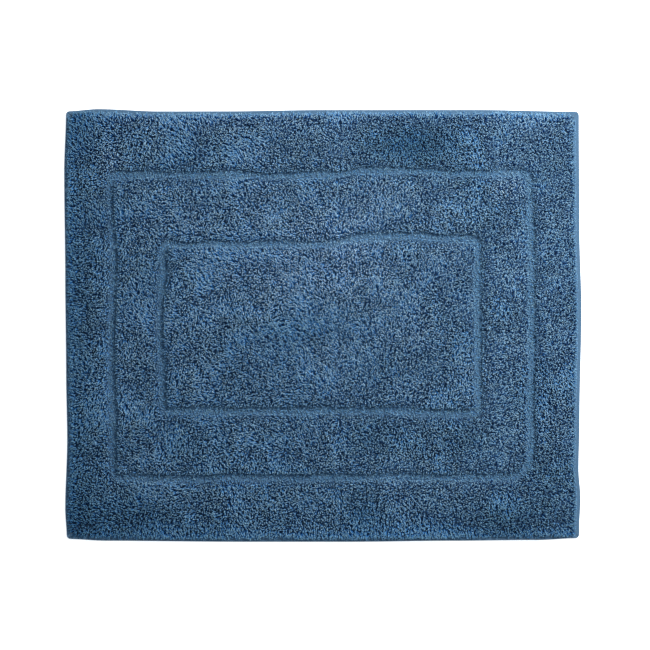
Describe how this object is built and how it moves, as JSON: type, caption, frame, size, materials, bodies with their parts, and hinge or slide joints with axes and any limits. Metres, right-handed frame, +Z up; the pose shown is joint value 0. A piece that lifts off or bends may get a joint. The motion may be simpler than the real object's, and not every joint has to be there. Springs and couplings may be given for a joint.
{
  "type": "bath mat",
  "caption": "Rectangular tufted bath mat: a centre panel of cut pile framed by two pile borders with bare channels between, bound edges and a non-slip latex back.",
  "frame": {"origin": "middle of the underside, on the floor", "axes": "+X along the mat's long side to the right, +Y towards the back edge, +Z up out of the pile"},
  "size_m": [0.6, 0.504, 0.012],
  "materials": {
    "pile_yarn": "soft twisted cotton, cut ends, matt with a slight sheen",
    "back_yarn": "twisted cotton yarn lying flat, matt",
    "backing_canvas": "plain woven cotton, matt",
    "binding_cloth": "plain woven cotton tape, matt",
    "sewing_thread": "spun polyester, slight sheen",
    "latex": "matt, slightly tacky"
  },
  "bodies": {
    "root": {"backing_cloth": "backing_canvas", "latex_backing": "latex", "centre_pile": "pile_yarn", "centre_backstitch": "back_yarn", "outer_pile_front": "pile_yarn", "outer_pile_right": "pile_yarn", "outer_pile_back": "pile_yarn", "outer_pile_left": "pile_yarn", "outer_backstitch_front": "back_yarn", "outer_backstitch_right": "back_yarn", "outer_backstitch_back": "back_yarn", "outer_backstitch_left": "back_yarn", "middle_pile_front": "pile_yarn", "middle_pile_right": "pile_yarn", "middle_pile_back": "pile_yarn", "middle_pile_left": "pile_yarn", "middle_backstitch_front": "back_yarn", "middle_backstitch_right": "back_yarn", "middle_backstitch_back": "back_yarn", "middle_backstitch_left": "back_yarn", "binding_front": "binding_cloth", "binding_right": "binding_cloth", "binding_back": "binding_cloth", "binding_left": "binding_cloth", "binding_stitching_front": "sewing_thread", "binding_stitching_right": "sewing_thread", "binding_stitching_back": "sewing_thread", "binding_stitching_left": "sewing_thread"}
  },
  "joints": []
}
